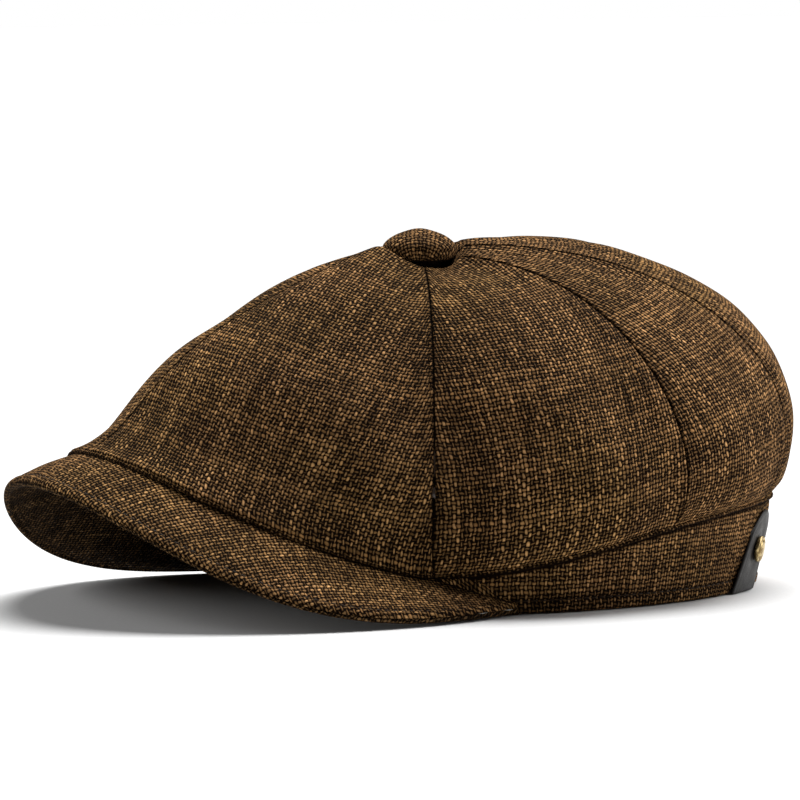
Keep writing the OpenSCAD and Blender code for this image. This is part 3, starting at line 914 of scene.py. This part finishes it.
# ---------------------------------------------------------------- button
def lathe(profile, centre, steps=128):
    """Points of a turned shape about a vertical axis; the profile runs from the middle of the top."""
    angle = np.linspace(0, 2 * math.pi, steps + 1)
    r, z = profile[:, 0][:, None], profile[:, 1][:, None]
    return xyz(centre[0] + r * np.cos(angle), centre[1] + r * np.sin(angle), centre[2] + z + 0 * angle)


def close_seam(piece):
    """Join the first and last column of a turned shape."""
    work = bmesh.new()
    work.from_mesh(piece.data)
    bmesh.ops.remove_doubles(work, verts=work.verts, dist=0.00001)
    work.to_mesh(piece.data)
    work.free()


def button_profile():
    """A flat pillow: domed top, rounded shoulder and a gathered neck that ends just above the crown."""
    shoulder_z = BUTTON_TOP - BUTTON_DOME
    r = BUTTON_R * np.sin(np.linspace(0, 1, 42) * math.pi / 2)
    share = r / BUTTON_R
    z = shoulder_z + BUTTON_DOME * (0.30 * (1 - share ** 2) + 0.70 * np.sqrt(np.maximum(1 - share ** 2, 0)))
    turn = np.radians(np.linspace(6, 90, 14))
    under_r = BUTTON_R - 4.8 * (1 - np.cos(turn)) ** 1.25
    under_z = shoulder_z - BUTTON_SIDE * np.sin(turn)
    neck_r = np.array([8.0, 7.8, 7.2, 3.0])
    neck_z = SEAT_Z + np.array([1.6, 0.9, 0.6, 0.6])
    parts = ((r, z), (under_r, under_z), (neck_r, neck_z))
    profile = np.concatenate([np.stack(part, -1) for part in parts])
    profile[0, 0] = 0.02
    return profile


def button():
    profile = button_profile()
    points = lathe(profile, (0, BUTTON_Y, 0), 160)
    angle = np.linspace(0, 2 * math.pi, 161)[None, :]
    share = (profile[:, 0] / BUTTON_R)[:, None]
    lower = ease((BUTTON_TOP - 3 - points[..., 2]) / 6.0)
    pulls = 0.10 * np.sin(angle * 13 + 0.7 * np.sin(angle * 3)) * lower * share
    soft = ripple(points, 41, 12, 0.05) * share
    out = unit(points - np.array([0, BUTTON_Y, BUTTON_TOP - 12]))
    points = points + out * ((pulls + soft - 0.4) * ease(share * 2))[..., None]
    run = arc_length(points, 0)
    uv = np.stack([run * np.cos(angle + 0.5), run * np.sin(angle + 0.5)], -1)
    # Painted shade on the button's underside below its shoulder, where it sits over the crown.
    shade = 0.95 * ease((BUTTON_TOP - 9.6 - points[..., 2]) / 1.4)
    piece = mesh_piece("button_cover_cloth", points, grid_faces(*points.shape[:2], True), TWEED,
                       BUTTON, uv, shade)
    close_seam(piece)
    thicken(piece, 0.7)
    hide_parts("button_cover")


# ---------------------------------------------------------------- leather tabs and rivets
def rivet_lean(z):
    return BAND_FLARE * (z - BAND_FOOT) / (BAND_BACK_H - BAND_FOOT)


def tab_top(k):
    return TAB_H * (0.68 + 0.32 * np.sqrt(np.maximum(1 - k * k, 0)))


def tab_pt(side, k, z, g):
    phi = side * (TAB_PHI + k * TAB_HALF + TAB_SLANT * (z - RIVET_Z))
    return ring(phi, rivet_lean(z) + g, z)


def tab(name, side):
    """A strap end: rounded top, padded face, bevelled edge, turned under the band's foot."""
    k = np.sin(np.linspace(-1, 1, 34) * math.pi / 2)
    rows = []
    face = 0.3 + TAB_T
    for share in np.concatenate([[0.0, 0.012, 0.03], np.linspace(0.06, 1.0, 44)]):
        z = mix(tab_top(k * 0.985), 0.9, share)
        edge = np.minimum((1 - np.abs(k)) * 14, (tab_top(k) - z) * 0.8)
        fall = -0.75 * (1 - np.sqrt(np.clip(1 - (1 - np.clip(edge / 0.9, 0, 1)) ** 2, 0, 1)))
        from_rivet = np.hypot(k * 12, z - RIVET_Z)
        dip = -0.35 * bump(from_rivet - 5.0, 1.5)
        line = -0.16 * bump(edge - 2.1, 0.35)
        rows.append(tab_pt(side, k, z, face + fall + dip + line))
    foot = rows[-1]
    out = unit((foot - np.array([0, RING_Y, 0.9])) * np.array([1, 1, 0]))
    up = np.array([0, 0, 1.0])
    for angle in (30, 60, 90):
        rows.append(foot - out * (1 - cosd(angle)) * 0.8 - up * 0.8 * sind(angle))
    for _ in range(2):
        rows.append(rows[-1] - out * 1.2)
    points = np.stack(rows)
    uv = np.stack([k[None, :] * 11 + 0 * points[..., 0], arc_length(points, 0)], -1)
    piece = sheet_piece(name + "_leather", points, uv, LEATHER, 1.2, flip=side > 0)
    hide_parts(name)


def rivet_frame(side):
    """Middle of the rivet on the band's face, and the direction out of the face."""
    at = ring(np.array(side * TAB_PHI), rivet_lean(RIVET_Z), RIVET_Z)
    flat = np.array([side * sind(TAB_PHI) / HEAD_B, -cosd(TAB_PHI) / HEAD_A, 0])
    out = unit(flat)
    lean = math.atan(BAND_FLARE / (BAND_BACK_H - BAND_FOOT))
    return at, unit(out * math.cos(lean) - np.array([0, 0, math.sin(lean)]))


def rivet(name, side):
    at, out = rivet_frame(side)
    r = RIVET_R
    dome = [((r - 1.25) * math.sin(a), 2.75 + 1.15 * math.cos(a))
            for a in np.linspace(0, math.pi / 2, 14)]
    rim = [(r - 0.45 - 0.45 * math.cos(a), 2.75 + 0.42 * math.sin(a))
           for a in np.linspace(0.2, math.pi - 0.2, 9)]
    wall = [(r, 2.55), (r, 2.1), (r - 0.15, 1.85), (1.55, 1.85), (1.5, 1.5), (1.5, -4.4), (0.02, -4.4)]
    profile = np.array(dome + rim + wall)
    profile[0, 0] = 0.02
    flat = lathe(profile, (0, 0, 0), 96)
    side_axis = unit(np.cross(np.array([0, 0, 1.0]), out))
    up_axis = np.cross(out, side_axis)
    points = at + flat[..., 0:1] * side_axis + flat[..., 1:2] * up_axis + flat[..., 2:3] * out
    piece = mesh_piece(name + "_cap", points, grid_faces(*points.shape[:2], True), BRASS)
    close_seam(piece)
    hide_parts(name)


# ---------------------------------------------------------------- inside
def sweatband():
    phi = np.linspace(-180, 180, 721)
    low, high = sweat_edges(phi)
    rows = []
    for share in np.linspace(0, 1, 34):
        z = mix(low, high, share)
        up = z - low
        rolled = 0.5 * bump(share - 0.02, 0.03)
        puff = 0.35 * np.sin(share * math.pi)
        line = -0.3 * bump(up - 3.0, 0.5)
        p = ring(phi, -SWEAT_IN - SWEAT_T + 0.15, z)
        soft = ripple(p, 51, 26, 0.16) * math.sin(share * math.pi)
        inward = unit((np.array([0, RING_Y, 0]) - p) * np.array([1, 1, 0]))
        rows.append(p + inward * (rolled + puff + line + soft)[:, None])
    points = np.stack(rows)
    along = arc_length(points[16:17], 1) + 0 * points[..., 0]
    uv = np.stack([along, points[..., 2]], -1)
    piece = sheet_piece("sweatband_cloth", points, uv, SWEAT, 0.8, flip=True)
    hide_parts("sweatband")
    z = low + 3.0
    line = ring(phi, -SWEAT_IN - SWEAT_T, z)
    inward = unit((np.array([0, RING_Y, 0]) - line) * np.array([1, 1, 0]))
    stitches("sweatband_stitch", line, inward, 2.4, 0.9, 0.24)


def lining_half(name, start, end):
    phi = np.linspace(start, end, 260)
    t = np.linspace(0.02, 1, 90)
    grid_phi, grid_t = np.meshgrid(phi, t)
    points = lining_pt(grid_phi, grid_t)
    middle = np.array([0, BUTTON_Y, 40])
    inward = unit(middle - points)
    pleat = 0.9 * np.abs(np.sin(grid_phi * math.pi / 6.5)) ** 0.6 * ease((grid_t - 0.45) / 0.5)
    soft = 0.6 + ripple(points, 61, 34, 0.7) * ease(grid_t * 3)
    away = np.minimum(grid_phi - start, end - grid_phi)
    seam = 1.2 * bump(away, 0.5) * ease(grid_t * 2)
    points = points + inward * (0.5 + pleat + soft + seam)[..., None]
    out = unit((points[-1] - np.array([0, RING_Y, 0])) * np.array([1, 1, 0]))
    behind = [points[-1] + out * reach - np.array([0, 0, drop]) for reach, drop in ((1.5, 1.3), (2.6, 4.0))]
    points = np.concatenate([points, np.stack(behind)])
    across = arc_length(points, 1)
    uv = np.stack([across, arc_length(points, 0)], -1)
    piece = sheet_piece(name + "_cloth", points, uv, LINING, 0.4)
    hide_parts(name)


def inside():
    sweatband()
    lining_half("lining_left", 0.3, 179.7)
    lining_half("lining_right", -179.7, -0.3)


# ---------------------------------------------------------------- kept CAD nodes
def paint_kept_nodes():
    kept = {
        "brim_board": BOARD, "band_stiffener": STIFF, "back_elastic": WEBBING, "button_core": CORE,
        "button_shank": STEEL, "button_washer": STEEL, "crown_tip_patch": PATCH,
        "rivet_washer_left": BRASS, "rivet_washer_right": BRASS,
    }
    for node, material in kept.items():
        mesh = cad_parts[node].data
        mesh.materials.clear()
        mesh.materials.append(material)


# ---------------------------------------------------------------- studio
# The camera, in degrees and millimetres, turned from the front of the cap towards its left side.
CAMERA_TURN = 62.084
CAMERA_RISE = 4.364
CAMERA_ROLL = 0.47
CAMERA_FAR = 2011.95
CAMERA_RIGHT = -13.18
CAMERA_UP = 65.08
CAMERA_Y = 12.25
LENS = 264.9
# Where the side lights point, in metres, then the strengths of the lights and the even fill.
AIM = (0, 0.02, 0.05)
OVERHEAD = 5.3
SIDE_POWER = 9.0
FILL = 0.05

FLOOR_HALF = 14.0
SUN_SPREAD = 42


def camera_axes():
    back = np.array([sind(CAMERA_TURN) * cosd(CAMERA_RISE), -cosd(CAMERA_TURN) * cosd(CAMERA_RISE),
                     sind(CAMERA_RISE)])
    right = np.array([cosd(CAMERA_TURN), sind(CAMERA_TURN), 0])
    return back, right, np.cross(back, right)


def camera():
    back, right, up = camera_axes()
    place_mm = back * CAMERA_FAR + right * CAMERA_RIGHT + up * CAMERA_UP + np.array([0, CAMERA_Y, 0])
    data = bpy.data.cameras.new("camera")
    data.lens = LENS
    data.sensor_width = 36.0
    data.clip_end = 100.0
    made = bpy.data.objects.new("camera", data)
    bpy.context.scene.collection.objects.link(made)
    c, s = cosd(CAMERA_ROLL), sind(CAMERA_ROLL)
    x, y = right * c - up * s, right * s + up * c
    axes = [[x[i], y[i], back[i], place_mm[i] * MM] for i in range(3)] + [[0, 0, 0, 1]]
    made.matrix_world = Matrix(axes)
    bpy.context.scene.camera = made


def softbox(name, place_at, aim, size, power):
    data = bpy.data.lights.new(name, "AREA")
    data.shape = "RECTANGLE"
    data.size, data.size_y = size
    data.energy = power
    made = bpy.data.objects.new(name, data)
    bpy.context.scene.collection.objects.link(made)
    made.location = place_at
    made.rotation_euler = (Vector(aim) - Vector(place_at)).to_track_quat("-Z", "Y").to_euler()
    return made


def studio():
    size = FLOOR_HALF
    mesh = bpy.data.meshes.new("floor")
    mesh.from_pydata([(-size, -size, 0), (size, -size, 0), (size, size, 0), (-size, size, 0)], [],
                     [(0, 1, 2, 3)])
    mesh.materials.append(floor_paper("studio_paper"))
    floor = bpy.data.objects.new("floor", mesh)
    bpy.context.scene.collection.objects.link(floor)
    world = bpy.data.worlds.new("studio_world")
    world.use_nodes = True
    backdrop(world.node_tree)
    bpy.context.scene.world = world
    bpy.context.scene.view_settings.view_transform = "Standard"
    back, right, _ = camera_axes()
    sun = bpy.data.lights.new("overhead_light", "SUN")
    sun.energy = OVERHEAD
    sun.angle = math.radians(SUN_SPREAD)
    made = bpy.data.objects.new("overhead_light", sun)
    bpy.context.scene.collection.objects.link(made)
    towards = Vector(right * 0.20 - back * 0.48 + np.array([0, 0, 1]))
    made.rotation_euler = towards.to_track_quat("Z", "Y").to_euler()
    right_place = Vector(right * 1.15 - back * 0.35) + Vector((0, 0, 0.55))
    left_place = Vector(-right * 1.15 - back * 0.25) + Vector((0, 0, 0.65))
    softbox("right_light", right_place, AIM, (0.7, 0.9), SIDE_POWER)
    softbox("left_light", left_place, AIM, (0.7, 0.9), SIDE_POWER)


def backdrop(tree):
    """White behind the cap, with a dimmer even fill for the light that falls on it."""
    white = tree.nodes["Background"]
    white.inputs[0].default_value = (1, 1, 1, 1)
    white.inputs[1].default_value = 1.0
    fill = tree.nodes.new("ShaderNodeBackground")
    fill.inputs[0].default_value = (1, 1, 1, 1)
    fill.inputs[1].default_value = FILL
    seen = tree.nodes.new("ShaderNodeLightPath").outputs["Is Camera Ray"]
    pick = tree.nodes.new("ShaderNodeMixShader")
    tree.links.new(seen, pick.inputs[0])
    tree.links.new(fill.outputs[0], pick.inputs[1])
    tree.links.new(white.outputs[0], pick.inputs[2])
    tree.links.new(pick.outputs[0], tree.nodes["World Output"].inputs["Surface"])


crown()
brim()
band()
button()
for label, hand in (("left", 1), ("right", -1)):
    tab("tab_" + label, hand)
    rivet("rivet_" + label, hand)
inside()
paint_kept_nodes()
camera()
studio()
